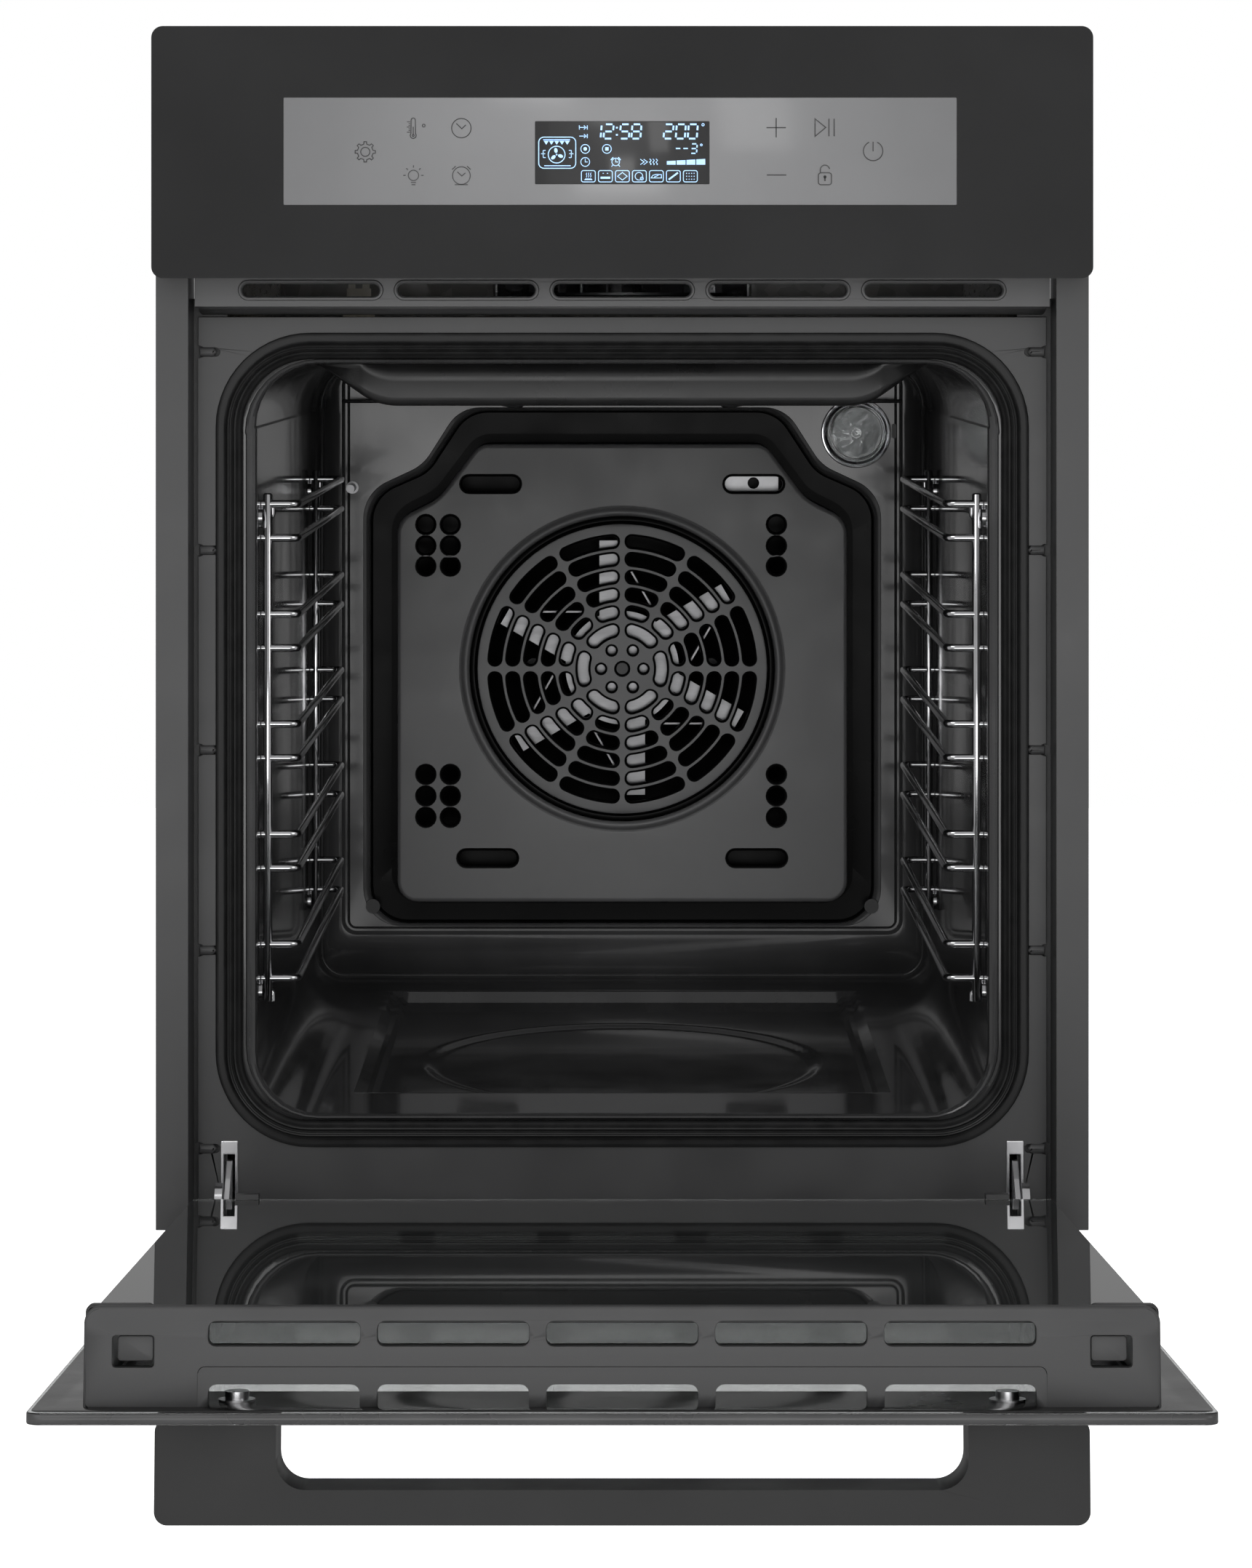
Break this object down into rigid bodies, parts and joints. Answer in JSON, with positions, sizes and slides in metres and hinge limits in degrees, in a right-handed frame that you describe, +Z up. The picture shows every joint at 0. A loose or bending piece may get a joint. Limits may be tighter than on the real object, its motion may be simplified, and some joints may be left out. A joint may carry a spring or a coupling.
{
  "type": "wall oven",
  "caption": "Slim built-in electric wall oven with a touch control panel, a drop-down glass door with loop handle, side racks and a rear convection fan.",
  "frame": {"origin": "middle of the cabinet's front plane, level with the underside of the casing, where the oven rests on its shelf", "axes": "+X to the right seen from the room, +Y into the cabinet, +Z up; the door is stored open"},
  "size_m": [0.448, 0.9981, 0.5977],
  "materials": {
    "casing_steel": "galvanised sheet",
    "trim_grey": "satin dark grey enamel",
    "enamel": "glossy black enamel",
    "cover_enamel": "satin dark grey enamel",
    "black_glass": "polished black back-painted glass",
    "door_glass": "tinted toughened glass",
    "clear_glass": "clear heat-resistant glass",
    "rail_plastic": "moulded, fine grain",
    "handle_plastic": "moulded, fine grain",
    "black_plastic": "moulded",
    "seal_rubber": "matt silicone",
    "chrome_wire": "bright plated",
    "plated_steel": "bright zinc plated",
    "heater_steel": "heat-dulled stainless",
    "aluminium_sheet": "mill finish",
    "glass_wool": "needled glass wool",
    "board_green": "solder-masked laminate",
    "white_ceramic": "matt white",
    "bulb_glass": "clear glass lamp"
  },
  "bodies": {
    "casing": {"base_plate": "casing_steel", "left_side_panel": "casing_steel", "right_side_panel": "casing_steel", "rear_panel": "casing_steel", "top_cover": "casing_steel", "left_side_trim": "trim_grey", "right_side_trim": "trim_grey", "front_frame": "trim_grey", "cavity_shell": "enamel", "cavity_back": "enamel", "ceiling_deflector": "enamel", "insulation_blanket": "glass_wool", "door_gasket": "seal_rubber", "fan_cover": "cover_enamel", "cover_screws": "enamel", "ring_element": "heater_steel", "grill_element": "heater_steel", "bottom_element": "heater_steel", "fan_motor": "aluminium_sheet", "left_rack": "chrome_wire", "right_rack": "chrome_wire", "rack_studs": "chrome_wire", "lamp_housing": "chrome_wire", "lamp_bulb": "bulb_glass", "lamp_lens": "clear_glass", "temperature_probe": "plated_steel", "safety_thermostat": "white_ceramic", "terminal_block": "white_ceramic", "cable_clamp": "black_plastic", "left_hinge_receiver": "plated_steel", "right_hinge_receiver": "plated_steel", "left_hinge_arm": "plated_steel", "right_hinge_arm": "plated_steel", "control_glass": "black_glass", "control_carrier": "black_plastic", "display_board": "board_green", "power_board": "board_green", "vent_strip": "trim_grey", "air_duct": "casing_steel", "cooling_fan_housing": "casing_steel", "cooling_fan_motor": "aluminium_sheet", "casing_screws": "trim_grey"},
    "door": {"door_outer_glass": "black_glass", "door_middle_glass": "door_glass", "door_inner_glass": "door_glass", "left_door_profile": "aluminium_sheet", "right_door_profile": "aluminium_sheet", "door_top_rail": "rail_plastic", "door_bottom_rail": "black_plastic", "door_handle": "handle_plastic", "handle_screws": "plated_steel", "left_hinge_body": "plated_steel", "right_hinge_body": "plated_steel"},
    "convection_fan": {"fan_wheel": "aluminium_sheet", "fan_nut": "plated_steel"},
    "cooling_fan": {"cooling_wheel": "aluminium_sheet"},
    "left_rail_catch_body": {"left_rail_catch": "rail_plastic"},
    "right_rail_catch_body": {"right_rail_catch": "rail_plastic"},
    "left_lock_body": {"left_hinge_lock": "plated_steel"},
    "right_lock_body": {"right_hinge_lock": "plated_steel"}
  },
  "joints": [
    {"name": "door_hinge", "type": "hinge", "parent": "casing", "child": "door", "pos_m": [0, -0.0064, -0.0032], "axis": [-1, 0, 0], "range_deg": [0, 84.8]},
    {"name": "convection_fan_spin", "type": "hinge", "parent": "casing", "child": "convection_fan", "pos_m": [0, 0.45, 0.2348], "axis": [0, 1, 0], "continuous": true},
    {"name": "cooling_fan_spin", "type": "hinge", "parent": "casing", "child": "cooling_fan", "pos_m": [0, 0.4, 0.46], "axis": [0, 0, 1], "continuous": true},
    {"name": "left_rail_catch_press", "type": "slide", "parent": "door", "child": "left_rail_catch_body", "axis": [0, 0.9959, -0.0906], "range_m": [0, 0.002], "stiffness_N_per_m": 600},
    {"name": "left_lock_flip", "type": "hinge", "parent": "casing", "child": "left_lock_body", "pos_m": [-0.1942, 0.007, 0.009], "axis": [-1, 0, 0], "range_deg": [0, 70]},
    {"name": "right_rail_catch_press", "type": "slide", "parent": "door", "child": "right_rail_catch_body", "axis": [0, 0.9959, -0.0906], "range_m": [0, 0.002], "stiffness_N_per_m": 600},
    {"name": "right_lock_flip", "type": "hinge", "parent": "casing", "child": "right_lock_body", "pos_m": [0.1942, 0.007, 0.009], "axis": [-1, 0, 0], "range_deg": [0, 70]}
  ]
}
